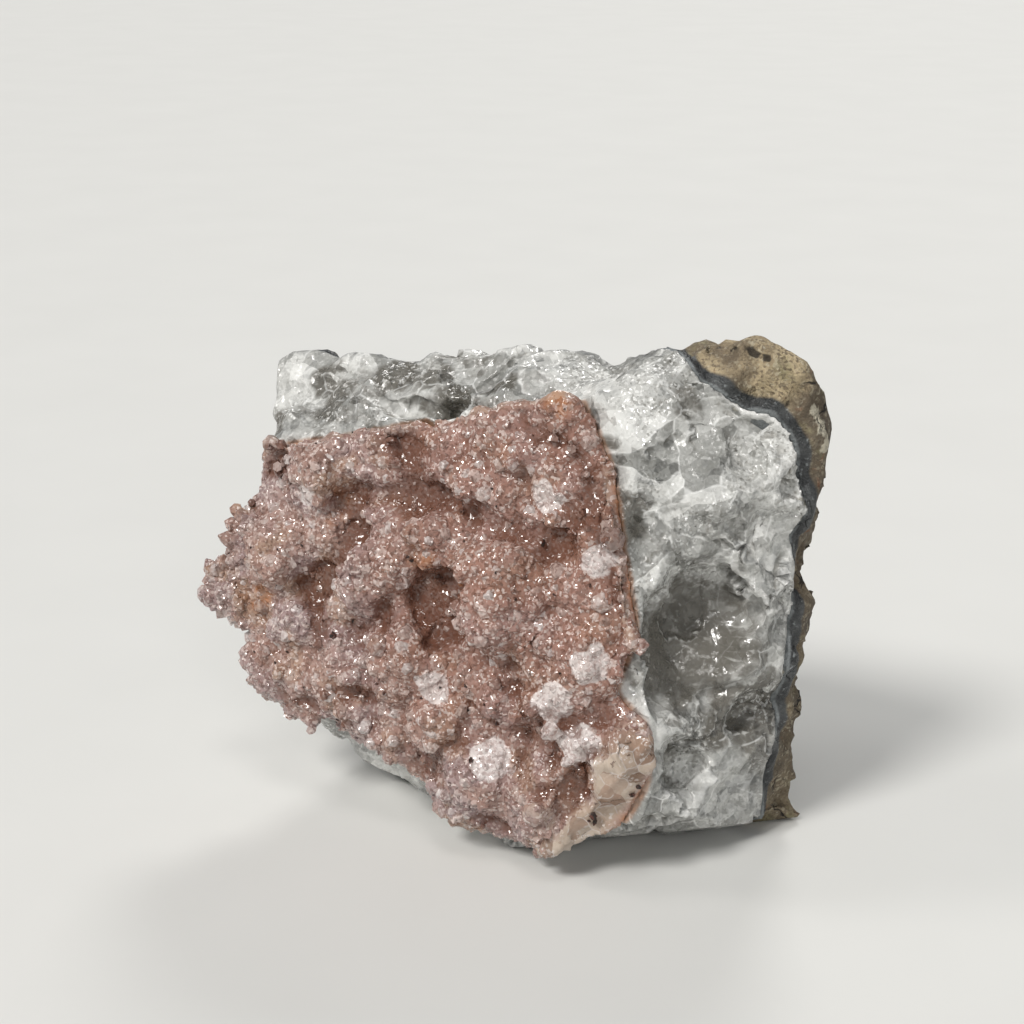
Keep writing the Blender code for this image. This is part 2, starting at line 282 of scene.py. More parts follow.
class Paint:
    """The material of one piece, built up from nodes. Sizes are in metres of the object."""

    def __init__(self, name):
        self.material = bpy.data.materials.new(name)
        self.material.use_nodes = True
        self.tree = self.material.node_tree
        self.tree.nodes.clear()
        self.place = self.node("TexCoord", output="Object")
        self.cell_nodes = {}

    def node(self, kind, settings=None, values=None, output=0):
        """Adds a node with these settings and input values, and gives one of its outputs."""
        made = self.tree.nodes.new("ShaderNode" + kind)
        for name, value in (settings or {}).items():
            setattr(made, name, value)
        for key, value in (values or {}).items():
            socket = made.inputs[key]
            if isinstance(value, Wire):
                self.tree.links.new(value.socket, socket)
            elif socket.type == "RGBA" and len(value) == 3:
                socket.default_value = (*value, 1.0)
            else:
                socket.default_value = value
        return Wire(self, made.outputs[output])

    def marked(self, name):
        """A number that was kept for each vertex."""
        return self.node("Attribute", {"attribute_name": name}, output="Fac")

    def rise(self, value, low, high):
        """Rises smoothly from 0 at low to 1 at high."""
        values = {"Value": value, "From Min": low, "From Max": high}
        return self.node("MapRange", {"interpolation_type": "SMOOTHSTEP"}, values)

    def mix(self, share, first, second):
        """A colour that is the first where share is 0 and the second where it is 1."""
        return self.node("Mix", {"data_type": "RGBA"}, {0: share, 6: first, 7: second}, output=2)

    def cloud(self, size, detail=2.0, place=None, roughness=0.5, distortion=0.0):
        values = {
            "Vector": place or self.place,
            "Scale": 1.0 / size,
            "Detail": detail,
            "Roughness": roughness,
            "Distortion": distortion,
        }
        return self.node("TexNoise", None, values)

    def cells(self, size, output="Distance", place=None, feature="F1"):
        """Small irregular cells. The same cells asked for twice come from one node."""
        place = place or self.place
        key = (size, place, feature)
        if key not in self.cell_nodes:
            values = {"Vector": place, "Scale": 1.0 / size}
            self.cell_nodes[key] = self.node("TexVoronoi", {"feature": feature}, values).socket.node
        return Wire(self, self.cell_nodes[key].outputs[output])

    def cell_tone(self, size, place=None):
        """One random number for each cell."""
        colour = self.cells(size, "Color", place)
        return self.node("SeparateColor", None, {"Color": colour}, "Red")

    def warped(self, size, amount):
        """The object's coordinates, shaken by noise."""
        values = {"Vector": self.place, "Scale": 1.0 / size, "Detail": 2.0}
        shake = self.node("TexNoise", None, values, "Color")
        centred = self.node("VectorMath", {"operation": "SUBTRACT"}, {0: shake, 1: (0.5, 0.5, 0.5)})
        scaled = self.node("VectorMath", {"operation": "SCALE"}, {0: centred, "Scale": amount})
        return self.node("VectorMath", {"operation": "ADD"}, {0: self.place, 1: scaled})

    def facets(self, size, tilt, place=None, normal=None):
        """The surface's normal, tilted another way on each small crystal facet."""
        colour = self.cells(size, "Color", place)
        centred = self.node("VectorMath", {"operation": "SUBTRACT"}, {0: colour, 1: (0.5, 0.5, 0.5)})
        scaled = self.node("VectorMath", {"operation": "SCALE"}, {0: centred, "Scale": tilt})
        normal = normal or self.node("NewGeometry", output="Normal")
        leaned = self.node("VectorMath", {"operation": "ADD"}, {0: normal, 1: scaled})
        return self.node("VectorMath", {"operation": "NORMALIZE"}, {0: leaned})

    def bump(self, height, depth, normal=None):
        values = {"Height": height, "Distance": depth, "Strength": 1.0}
        if normal:
            values["Normal"] = normal
        return self.node("Bump", None, values)

    def principled(self, values):
        return self.node("BsdfPrincipled", None, values)

    def finish(self, surface, volume=None):
        end = self.tree.nodes.new("ShaderNodeOutputMaterial")
        self.tree.links.new(surface.socket, end.inputs["Surface"])
        if volume:
            self.tree.links.new(volume.socket, end.inputs["Volume"])
        return self.material


def hand_over(obj, material, node):
    """Dresses a finished piece, hangs it on the root and hides the node of the frame that it stands for."""
    obj.data.materials.append(material)
    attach(obj, "root")
    if node:
        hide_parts(node)


rock = close_copy("rock_rind", "rock_wall", ROCK_GRAIN)
swell(rock, np.full(len(rock.data.vertices), HALF_GAP / MM))
points = places(rock)
from_quartz = distance_to(points, "quartz_body")
on_foot = step(points[:, 2], 0.3, 2.0)
free = step(from_quartz, 0.5, 1.6) * on_foot
calm = 1.0 - (1.0 - BAND_CALM) * (1.0 - step(from_quartz, 3.2, 4.6))
heights = np.zeros(len(points))
for width, depth, lean, seed in ROCK_CHIPS:
    heights += scoops(points, width, depth, lean, seed)
for size, height, seed in ROCK_ROUGHNESS:
    heights += height * clouds(points, size, seed)
heights = np.minimum(heights - ROCK_CHIPPED_AWAY, OUTMOST_ROCK)
wobble = STREAK_WOBBLE * clouds(points, 2.2, 26)
streaks = np.zeros(len(points))
for start, end, width in CREAM_STREAKS:
    streaks = np.maximum(streaks, 1.0 - step(along(points, start, end) + wobble, 0.4 * width, width))
heights += STREAK_HEIGHT * streaks - CLEFT_DEPTH * near(points, CLEFT, CLEFT_REACH)
split = np.zeros(len(points))
for start, end, width in SPLITS:
    split = np.maximum(split, 1.0 - step(along(points, start, end) + wobble, 0.1 * width, width))
heights -= SPLIT_DEPTH * split
swell(rock, heights * free * calm)
mark(rock, "from_quartz", from_quartz)
mark(rock, "streak", streaks)
mark(rock, "split", split)
mark(rock, "knob", near(points, KNOB, KNOB_REACH))

paint = Paint("host rock with chalcedony band")
away = paint.marked("from_quartz") + 1.6 * (paint.cloud(9 * MM) - 0.5) + 0.5 * (paint.cloud(1.5 * MM) - 0.5)
wall = paint.mix(paint.rise(paint.cloud(7 * MM, 4.0), 0.38, 0.62), DARK_BROWN, GOLDEN_BROWN)
# Painted shade: all the rock but its knob is painted darker umber.
painted_shade_share = 0.5 + 0.35 * paint.rise(paint.cloud(13 * MM, 3.0), 0.35, 0.65)
wall = paint.mix((1 - paint.marked("knob")) * painted_shade_share, wall, SHADE_UMBER)
clay = paint.rise(paint.cloud(5 * MM, 3.0, paint.warped(4 * MM, 3 * MM)), 0.54, 0.70)
wall = paint.mix(clay * 0.7, wall, OLIVE)
rusty = paint.rise(paint.cloud(3.4 * MM, 4.0, distortion=0.6), 0.60, 0.76)
wall = paint.mix(rusty * 0.6, wall, RUST)
sandy = 0.3 + 0.7 * paint.rise(paint.cloud(4 * MM, 3.0), 0.4, 0.62)
wall = paint.mix(paint.rise(paint.cell_tone(0.50 * MM), 0.55, 1.0) * sandy * 0.55, wall, CREAM)
wall = paint.mix(paint.rise(paint.cell_tone(0.43 * MM), 0.5, 0.0) * 0.8, wall, DARK_BROWN)
gaps = paint.cells(9 * MM, "Distance", paint.warped(3 * MM, 4 * MM), "DISTANCE_TO_EDGE")
cracks = (1 - paint.rise(gaps, 0.0, 0.025)) * paint.rise(paint.cloud(8 * MM), 0.52, 0.60)
wall = paint.mix(cracks, wall, CRACK_BLACK)
wall = paint.mix(paint.rise(paint.marked("split"), 0.3, 0.7) * 0.9, wall, CRACK_BLACK)
streak = paint.rise(paint.marked("streak") + 2.2 * (paint.cloud(1.0 * MM, 4.0) - 0.5), 0.3, 0.7)
wall = paint.mix(streak * 0.8, wall, paint.mix(paint.cloud(1.2 * MM, 3.0), CREAM, PALE_CREAM))
lines = paint.node("Math", {"operation": "SINE"}, {0: away * LINES_CLOSE})
band = paint.mix(paint.rise(paint.cloud(4 * MM, 4.0), 0.35, 0.65), SLATE_DARK, SLATE)
fine_lines = paint.rise(lines, 0.2, 1.0) * paint.rise(paint.cloud(3 * MM), 0.55, 0.75)
band = paint.mix(fine_lines * 0.16, band, BLUE_WHITE)
band = paint.mix(paint.rise(paint.cloud(1.0 * MM, 4.0), 0.62, 0.72) * 0.5, band, BLUE_WHITE)
band = paint.mix(paint.rise(away, 0.7, 0.2) * 0.5, band, BLUE_WHITE)
in_band = 1 - paint.rise(away, 1.9, 2.6)
colour = paint.mix(in_band, wall, band)
rough = paint.cloud(0.5 * MM, 4.0) + 0.5 * paint.cell_tone(0.4 * MM)
breaks = paint.facets(2.2 * MM, 0.7, paint.warped(3 * MM, 1.5 * MM))
relief = paint.bump(rough - 1.2 * cracks, 0.4 * MM, breaks)
rock_shader = paint.principled({
    "Base Color": colour,
    "Roughness": 0.82 - 0.42 * in_band - 0.2 * paint.rise(paint.cell_tone(0.5 * MM), 0.8, 1.0),
    "Normal": relief,
    "IOR": 1.5,
})
hand_over(rock, paint.finish(rock_shader), "rock_rind")

# Massive quartz filled most of the vein. It grew as coarse grains grown into each other, some milky and
# some clear, and broke like glass: flat chips and scalloped ledges, with a smooth dark hollow on the
# right side where a piece fell out, and sugary faces above it.
QUARTZ_GRAIN = 0.6 * MM
# The breaks of the quartz, from coarse to fine, and its sugary faces: width, depth, lean and seed.
QUARTZ_CHIPS = ((12.0, 4.0, 0.75, 48), (6.5, 2.4, 0.75, 42), (3.0, 0.5, 0.75, 40))
SUGAR_CHIPS = (1.9, -0.75, 0.6, 43)
CHIPPED_AWAY = 0.6
OUTMOST_CHIP = 0.6
COLUMN = (0.7, 1.0, 1.0)
RIDGE_ROUNDS = 4
HOLLOW = (34.4, -3.2, 39.3)
# Where the quartz broke smooth: place, reach and how much of the chips is left.
SMOOTH_PLACES = (
    (HOLLOW, 17.0, 0.25),
    ((39.5, -7.7, 69.4), 8.5, 0.3),
    ((41.5, -0.8, 10.5), 8.0, 0.35),
    ((26.5, -12.4, 80.1), 5.0, 0.5),
)
# How clear each chip and each grain is by chance: width, seed, lowest and highest.
COARSE_TONES = (4.5, 46, 0.0, 0.5)
FINE_TONES = (1.6, 47, -1.0, 1.0)
FINE_TONE_SHARE = 0.12
# Where the quartz is clearer (above 0) or milkier (below 0): place, reach and how much.
CLEAR_PLACES = (
    (HOLLOW, 18.0, 0.75),
    ((36.6, -6.1, 80.6), 4.5, 0.7),
    ((27.5, -13.3, 73.2), 6.0, 0.45),
    ((29.5, -13.0, 63.0), 8.0, 0.7),
    ((26.5, -13.5, 72.0), 5.0, 0.5),
    ((-20.4, -4.7, 77.4), 5.0, 0.9),
    ((-31.6, -8.6, 73.2), 5.0, 0.9),
    ((-6.0, -9.0, 77.0), 5.0, 0.7),
    ((-37.0, -4.0, 75.0), 4.0, 0.8),
    ((-12.0, -5.0, 79.0), 4.0, 0.8),
    ((5.0, -9.0, 79.0), 4.0, 0.8),
    ((-42.0, -10.0, 66.0), 5.0, 0.8),
    ((42.7, -3.8, 24.1), 4.0, 0.7),
    ((47.1, 6.6, 23.2), 12.0, 0.35),
    ((33.0, -11.3, 75.6), 14.0, -0.35),
    ((45.0, 2.0, 24.0), 24.0, 0.35),
    ((-18.0, -6.0, 77.0), 30.0, 0.3),
    ((39.5, -7.7, 69.4), 9.0, -0.7),
    ((26.5, -12.4, 80.1), 5.5, -0.6),
    ((-42.8, -2.4, 74.8), 9.0, -0.4),
    ((-26.1, -1.2, 78.6), 7.0, -0.4),
    ((43.0, -1.7, 18.7), 7.0, -0.4),
    ((41.5, -0.8, 10.5), 7.5, -0.5),
    ((39.1, -15.9, 21.9), 4.0, -0.8),
    ((39.4, -3.5, 29.7), 3.5, -0.6),
)
# Ledges that stand out of the broken side: from, to, width and height.
LEDGES = (
    ((31.0, -9.0, 58.0), (48.0, 2.0, 57.0), 3.0, 2.0),
    ((46.0, 1.5, 36.0), (37.0, -8.0, 28.0), 1.8, 1.2),
    ((33.0, -11.0, 66.5), (47.0, 1.0, 64.5), 1.8, 1.3),
    ((37.0, -10.0, 17.0), (47.0, 3.0, 15.5), 1.6, 1.0),
)
LEDGE_WOBBLE = 0.8
CALM_REACH = 16.0

MILKY = (0.26, 0.26, 0.245)
MILKY_WHITE = (0.77, 0.77, 0.745)
# White of bruised quartz, also a painted highlight on its ridges.
BRUISED_WHITE_AND_HIGHLIGHT = (0.85, 0.85, 0.83)
# Smoky grey of clear quartz, also painted shade in its hollows.
SMOKY_AND_SHADE = (0.175, 0.16, 0.132)
OLIVE_BROWN = (0.20, 0.17, 0.09)
CONTACT_BROWN = (0.36, 0.17, 0.08)
GLASS = (0.86, 0.86, 0.82)
GLASS_SHARE = 0.36
QUARTZ_IOR = 1.54
SMOKE_INSIDE = (0.66, 0.62, 0.53)
SMOKE_DENSITY = 70.0
CHUNK = 8.0 * MM
GRIT = 0.42 * MM

quartz = close_copy("quartz_body", "vein_quartz", QUARTZ_GRAIN)
swell(quartz, np.full(len(quartz.data.vertices), HALF_GAP / MM))
points = places(quartz)
from_rock = distance_to(points, "rock_rind")
from_druse = distance_to(points, "amethyst_crust")
free = step(from_rock, 0.5, 1.8) * step(from_druse, 0.5, 4.0) * step(points[:, 2], 0.3, 1.6)
smooth = np.ones(len(points))
for centre, reach, left in SMOOTH_PLACES:
    smooth *= 1.0 - (1.0 - left) * near(points, centre, reach)
heights = np.zeros(len(points))
for width, depth, lean, seed in QUARTZ_CHIPS:
    heights += scoops(points, width, depth, lean, seed, COLUMN)
sugary = step(clouds(points, 9.0, 44), -0.1, 0.35)
heights += sugary * scoops(points, *SUGAR_CHIPS, COLUMN)
heights *= smooth
heights = np.minimum(heights - CHIPPED_AWAY, OUTMOST_CHIP)
wobble = LEDGE_WOBBLE * clouds(points, 4.0, 45)
for start, end, width, height in LEDGES:
    heights += height * (1.0 - step(along(points, start, end) + wobble, 0.3 * width, width))
swell(quartz, heights * free)
blunt = soften(quartz, RIDGE_ROUNDS)
ridge = ((places(quartz) - blunt) * normals(quartz)).sum(1)

clear = chip_tones(points, *COARSE_TONES, COLUMN) + FINE_TONE_SHARE * chip_tones(points, *FINE_TONES)
for centre, reach, more in CLEAR_PLACES:
    clear += more * near(points, centre, reach)
mark(quartz, "clear", clear)
mark(quartz, "ridge", ridge)
mark(quartz, "sugar", sugary * smooth)
mark(quartz, "calm", near(points, HOLLOW, CALM_REACH))
mark(quartz, "from_rock", from_rock)
mark(quartz, "from_druse", from_druse)

paint = Paint("massive quartz")
sugar = paint.marked("sugar")
chunk_place = paint.warped(6 * MM, 4 * MM)
piece_place = paint.warped(2.5 * MM, 1.2 * MM)
chunk_tone = paint.cell_tone(CHUNK, chunk_place)
piece_tone = paint.cell_tone(1.7 * MM, piece_place)
grit_place = paint.warped(0.8 * MM, 0.5 * MM)
grit_tone = paint.cell_tone(GRIT, grit_place)
clear = paint.marked("clear") + 0.4 * (paint.cloud(4 * MM, 3.0) - 0.5) + 0.3 * (piece_tone - 0.5)
tone = chunk_tone * 0.5 + piece_tone * 0.2 + grit_tone * 0.1 + 0.2 * paint.cloud(3 * MM, 3.0)
calm_place = paint.marked("calm")
tone = tone * (1 - 0.7 * calm_place) + 0.35 * calm_place
milk = paint.mix(paint.rise(tone, 0.1, 0.9), MILKY, MILKY_WHITE)
milk = paint.mix(paint.rise(clear, 0.35, 1.0) * 0.85, milk, SMOKY_AND_SHADE)
seams = 1 - paint.rise(paint.cells(CHUNK, "Distance", chunk_place, "DISTANCE_TO_EDGE"), 0.0, 0.035)
seams = seams * paint.rise(paint.cloud(3 * MM), 0.45, 0.56) * (1 - calm_place)
milk = paint.mix(seams * 0.8, milk, BRUISED_WHITE_AND_HIGHLIGHT)
gritty = (0.12 + 0.6 * sugar) * (1 - 0.8 * calm_place)
milk = paint.mix(paint.rise(grit_tone, 0.80, 0.90) * gritty, milk, BRUISED_WHITE_AND_HIGHLIGHT)
milk = paint.mix(paint.rise(grit_tone, 0.30, 0.10) * gritty * 0.45, milk, SMOKY_AND_SHADE)
# Pale wisps of tiny bubbles run through the clear parts, all one way.
drawn_out = {"Vector": paint.warped(6 * MM, 3 * MM), "Rotation": (0.5, 0.5, 0.2), "Scale": (0.16, 1.0, 1.0)}
stretched = paint.node("Mapping", None, drawn_out)
wisps = paint.rise(paint.cloud(1.3 * MM, 4.0, stretched), 0.58, 0.74)
milk = paint.mix(wisps * (0.55 - 0.3 * calm_place), milk, MILKY_WHITE)
near_rock = 1 - paint.rise(paint.marked("from_rock"), 0.0, 5.0)
stain = paint.rise(paint.cloud(4 * MM, 3.0), 0.60, 0.72) * near_rock
milk = paint.mix(stain * 0.8, milk, OLIVE_BROWN)
contact = 1 - paint.rise(paint.marked("from_druse") + 0.8 * paint.cloud(2 * MM), 0.5, 1.3)
milk = paint.mix(contact * 0.7, milk, CONTACT_BROWN)
# Ridges are painted whiter, for bruised quartz and as painted highlight; hollows are painted smoky grey as
# painted shade.
bulge = paint.marked("ridge") + 0.08 * (paint.cloud(0.8 * MM, 3.0) - 0.5)
edges = paint.rise(bulge, 0.06, 0.25)
milk = paint.mix(edges * 0.5, milk, BRUISED_WHITE_AND_HIGHLIGHT)
milk = paint.mix(paint.rise(bulge, -0.04, -0.22) * 0.5, milk, SMOKY_AND_SHADE)
tilt = 0.85 - 0.7 * calm_place
flat = paint.facets(1.7 * MM, tilt * 0.8, piece_place, paint.facets(CHUNK * 0.5, tilt, chunk_place))
glitter = paint.facets(GRIT, 0.7, grit_place, flat)
plain = paint.bump(paint.cloud(1.6 * MM, 3.0), 0.06 * MM, flat)
normal = paint.node("Mix", {"data_type": "VECTOR"}, {0: 0.35 + 0.6 * sugar, 4: plain, 5: glitter}, 1)
rough = 0.25 - 0.19 * paint.rise(grit_tone, 0.4, 0.8)
milky_shader = paint.principled({
    "Base Color": milk,
    "Roughness": rough,
    "Normal": normal,
    "IOR": QUARTZ_IOR,
})
clear_shader = paint.principled({
    "Base Color": GLASS,
    "Roughness": 0.10,
    "Normal": plain,
    "IOR": QUARTZ_IOR,
    "Transmission Weight": 1.0,
})
share = GLASS_SHARE * paint.rise(clear, 0.3, 1.0) * (1 - 0.6 * wisps) * (1 - 0.8 * edges)
quartz_shader = paint.node("MixShader", None, {0: share, 1: milky_shader, 2: clear_shader})
smoke = paint.node("VolumeAbsorption", None, {"Color": SMOKE_INSIDE, "Density": SMOKE_DENSITY})
hand_over(quartz, paint.finish(quartz_shader, smoke), "quartz_body")

# The druse is the last that grew: crystals of dusty pink to brownish amethyst, six-sided points of 1 to
# 4 mm grown out of one another over rounded lumps, all one glassy crust. It broke off flat at the top,
# on the right and at its lower right corner, where the fresh face is smooth and salmon-coloured.
LUMP_GRAIN = 0.6 * MM
LUMP_ROUNDS = 20
SETTLING_ROUNDS = 2
FOLD_ROUNDS = 30
# The domes of the crust, from coarse to fine: width, depth, lean and seed.
GLOBES = ((14.0, -3.5, 0.25, 50), (7.0, -2.4, 0.3, 51), (3.4, -0.9, 0.3, 52))
# The large folds between the lumps: the line that each follows, its half width and its depth.
FOLDS = (
    (((-22.3, -18.9, 58.1), (-18.1, -19.9, 53.2), (-22.1, -21.9, 47.5), (-28.9, -21.2, 41.4)), 4.6, 2.8),
    (
        ((-18.4, -17.9, 60.1), (-7.7, -19.0, 60.8), (2.5, -19.3, 61.6),
         (12.6, -19.4, 58.9), (22.9, -19.6, 56.8)), 4.2, 2.3,
    ),
    (((3.1, -23.5, 50.1), (-4.2, -20.3, 44.1), (-0.9, -21.2, 38.6)), 4.4, 2.8),
    (((14.3, -22.1, 32.2), (19.9, -24.3, 26.7), (22.0, -23.4, 23.8)), 3.6, 2.2),
    (((-19.9, -26.3, 26.5), (-13.6, -22.9, 24.8)), 3.0, 1.6),
)
# The large lumps: place, reach and height.
DOMES = (
    ((13.8, -22.6, 43.5), 10.0, 2.6),
    ((-11.1, -21.7, 49.5), 9.0, 1.8),
    ((-29.0, -20.7, 62.0), 8.0, 1.2),
    ((8.4, -24.8, 15.5), 8.0, 1.4),
    ((-35.6, -22.0, 46.2), 7.0, 1.2),
)
LEAST_CRUST = 1.3
BROKEN_EDGE = (3.2, 1.0, 0.7, 54)
EDGE_WAVES = (5.0, 2.8, 53)
PEACH_POINT = (31.8, -22.4, 21.0)
# The flat broken faces: a point on each and the way that it looks.
FRESH_FACES = (
    (PEACH_POINT, (0.5, -0.82, -0.25)),
    ((34.8, -20.9, 45.0), (0.97, 0.1, 0.22)),
    ((-10.2, -17.9, 73.5), (-0.27, 0.25, 0.93)),
)
FRESH_DEPTH = 0.35
# The salmon face goes on round the corner: place and reach.
PEACH_CORNER = (((36.5, -19.5, 25.0), 8.0), ((34.0, -20.5, 15.0), 8.0))
# Patches where the crystals are clear and painted white, as painted glints: place and radius.
GLINTING_WHITE_PATCHES = (
    ((22.7, -25.2, 32.9), 3.2),
    ((27.3, -24.7, 26.8), 3.6),
    ((28.6, -18.7, 56.8), 2.6),
    ((29.6, -23.3, 40.7), 3.2),
    ((10.7, -23.2, 19.0), 3.4),
    ((-19.0, -16.0, 66.0), 2.6),
    ((-27.0, -20.0, 60.0), 2.4),
    ((18.0, -18.0, 66.0), 2.8),
    ((-2.0, -22.0, 30.0), 2.6),
)
# Orange stains, then frosted places: place, reach and strength.
STAINS = (
    ((-38.5, -21.4, 38.7), 5.0, 0.8),
    ((-3.7, -22.0, 51.8), 4.0, 0.7),
    ((19.2, -15.5, 81.0), 4.0, 0.8),
    ((4.0, -22.0, 50.0), 5.0, 0.5),
    ((-24.0, -20.0, 57.0), 5.0, 0.5),
)
FROSTED = (
    ((29.4, -24.1, 24.4), 7.0, 0.6),
    ((14.4, -14.0, 79.0), 4.0, 0.7),
    ((15.3, -21.9, 36.5), 4.5, 0.35),
)
FINE_CRYSTALS = 9500
FINE_APART = 0.86
FINE_WIDTH = 1.7
FINE_LIMITS = (0.8, 3.0)
# How far a crystal stands out, as a share of its width, and how much it leans by chance.
FINE_LENGTHS = (0.02, 0.28)
FINE_LEAN = 0.34
# The left rim starts between these distances left of the middle, and ends between these heights.
RIM_STARTS = (36.0, 50.0)
RIM_ENDS = (52.0, 60.0)
PEACH_LEFT = 13.6
SLANT_BELOW = 16.0
PEACH_CHIPS = (5.0, 2.2, 0.8, 55)
# Right of this and below this the right side of the druse isn't broken: x and z.
LOW_RIGHT = (24.0, 30.0)
FOLD_WOBBLE = 0.9
LUMPS_SUNK = 0.4
ACROSS_VIEW = (0.848, 0.530, 0.0)
CRYSTAL_SIDES = 6
SHOULDER = 0.5

PINK = (0.40, 0.26, 0.22)
MAUVE = (0.385, 0.285, 0.28)
TAN = (0.41, 0.27, 0.20)
WARM_PINK = (0.33, 0.17, 0.125)
# Deep red-brown of some crystals, also painted shade in valleys and folds and painted dark reflections.
DEEP_RED_AND_SHADE = (0.15, 0.065, 0.042)
# Pale pink of some crystals, also painted glints on the facets.
PALE_PINK_AND_GLINT = (0.82, 0.70, 0.65)
GLINT = (0.93, 0.88, 0.85)
FROST_AND_GLINT_WHITE = (0.90, 0.85, 0.83)
FROST_SHADE = (0.62, 0.53, 0.51)
FLASH = 0.45 * MM
ORANGE_STAIN = (0.45, 0.19, 0.08)
SALMON_DEEP = (0.40, 0.27, 0.19)
PALE_SALMON = (0.74, 0.62, 0.50)
PLATE = 3.2 * MM
DARK_SPOT = (0.10, 0.05, 0.03)
PINK_GLASS = (0.94, 0.80, 0.75)
PINK_INSIDE = (0.84, 0.52, 0.42)
PINK_DENSITY = 110.0


def spots_of(points, places_and_reaches):
    """The strongest of several soft spots at each point."""
    found = np.zeros(len(points))
    for centre, reach, strength in places_and_reaches:
        found = np.maximum(found, strength * near(points, centre, reach))
    return found


def point_shape(shoulder, alternate, edge=0.0):
    """A six-sided crystal with a three-sided tip, one unit wide and one unit long, standing on the origin.
    Its edges may be bevelled by so much, to catch the light."""
    bm = bmesh.new()
    bmesh.ops.create_cone(
        bm, cap_ends=True, segments=CRYSTAL_SIDES, radius1=0.5, radius2=0.46, depth=shoulder
    )
    bmesh.ops.translate(bm, verts=bm.verts, vec=(0, 0, shoulder / 2))
    top = max(bm.faces, key=lambda f: f.calc_center_median().z)
    ring = sorted(top.verts, key=lambda v: math.atan2(v.co.y, v.co.x))
    tip = bmesh.ops.poke(bm, faces=[top])["verts"][0]
    tip.co.z = 1.0
    for vertex in ring[::2]:
        vertex.co.z += alternate
    if edge:
        bmesh.ops.bevel(
            bm, geom=bm.edges[:], offset=edge, segments=1, profile=0.5, affect="EDGES", material=-1
        )
    bm.verts.index_update()
    corners = np.array([v.co[:] for v in bm.verts])
    sides = [[v.index for v in f.verts] for f in bm.faces]
    bm.free()
    return corners, sides


def grow(name, shape, roots, axes, widths, lengths, draw):
    """One mesh with a crystal on each root."""
    corners, sides = shape
    axes = axes / np.linalg.norm(axes, axis=1)[:, None]
    across = np.cross(axes, draw.normal(size=axes.shape))
    across /= np.linalg.norm(across, axis=1)[:, None]
    beside = np.cross(axes, across)
    made = (
        roots[:, None, :]
        + widths[:, None, None] * corners[None, :, :1] * across[:, None, :]
        + widths[:, None, None] * corners[None, :, 1:2] * beside[:, None, :]
        + lengths[:, None, None] * corners[None, :, 2:] * axes[:, None, :]
    ).reshape(-1, 3)
    made = np.clip(made, np.array(cad_box[0]) / MM, np.array(cad_box[1]) / MM)
    faces = [[i + n * len(corners) for i in side] for n in range(len(roots)) for side in sides]
    mesh = bpy.data.meshes.new(name)
    mesh.from_pydata((made * MM).tolist(), [], faces)
    obj = bpy.data.objects.new(name, mesh)
    bpy.context.scene.collection.objects.link(obj)
    return obj


def spaced(points, order, apart):
    """Picks points in this order, each at least so far from those picked before."""
    picked = []
    grid = {}
    for index in order:
        point = points[index]
        cell = tuple((point // apart).astype(int))
        close = False
        for dx in (-1, 0, 1):
            for dy in (-1, 0, 1):
                for dz in (-1, 0, 1):
                    for other in grid.get((cell[0] + dx, cell[1] + dy, cell[2] + dz), ()):
                        if np.sum((points[other] - point) ** 2) < apart * apart:
                            close = True
        if not close:
            grid.setdefault(cell, []).append(index)
            picked.append(index)
    return np.array(picked)


druse = close_copy("amethyst_crust", "druse_lumps", LUMP_GRAIN)
points = places(druse)
fresh = np.zeros(len(points))
peach = np.zeros(len(points))
for start, outward in FRESH_FACES:
    outward = np.array(outward) / np.linalg.norm(outward)
    depth = np.abs((points - np.array(start)) @ outward)
    fresh = np.maximum(fresh, 1.0 - step(depth, FRESH_DEPTH, 3.0 * FRESH_DEPTH))
    if start is PEACH_POINT:
        peach = fresh.copy()
from_quartz = distance_to(points, "quartz_body")
inner = 1.0 - step(from_quartz, 0.6, 1.8)
held = np.maximum(fresh, inner)[:, None]
put(druse, held * points + (1.0 - held) * soften(druse, LUMP_ROUNDS))
points = places(druse)
for centre, reach in PEACH_CORNER:
    peach = np.maximum(peach, near(points, centre, reach))
# The salmon face ends on the left at a ridge, which slants away to the left below.
ridge_line = PEACH_LEFT - np.maximum(SLANT_BELOW - points[:, 2], 0.0)
peach *= step(points @ np.array(ACROSS_VIEW) - ridge_line, -0.8, 0.8)
low_on_right = (points[:, 0] > LOW_RIGHT[0]) & (points[:, 2] < LOW_RIGHT[1])
fresh = np.where(low_on_right, 0.0, fresh)
fresh = np.maximum(fresh, peach)
above_floor = step(points[:, 2], 0.3, 1.5)
open_front = (1.0 - np.maximum(fresh, inner)) * above_floor
level = sum(scoops(points, *globe) for globe in GLOBES)
for line, width, depth in FOLDS:
    away = np.min([along(points, *ends) for ends in zip(line, line[1:])], axis=0)
    away += FOLD_WOBBLE * clouds(points, 4.0, 56)
    level -= depth * (1.0 - step(away, 0.1 * width, width))
for centre, reach, height in DOMES:
    level += height * near(points, centre, reach)
level = np.maximum(level - LUMPS_SUNK, LEAST_CRUST - from_quartz)
wave_width, wave_height, wave_seed = EDGE_WAVES
waves = wave_height * clouds(points, wave_width, wave_seed)
waves += scoops(points, *BROKEN_EDGE) * (1.0 - peach)
waves *= 1.0 - 0.8 * peach
chips = scoops(points, *PEACH_CHIPS) * peach
swell(druse, level * open_front + (waves + chips) * fresh * (1.0 - inner) * above_floor + HALF_GAP / MM)
put(druse, soften(druse, SETTLING_ROUNDS))
lump_points = places(druse)
ways = normals(druse)
lump_tree = tree_of(lump_points)

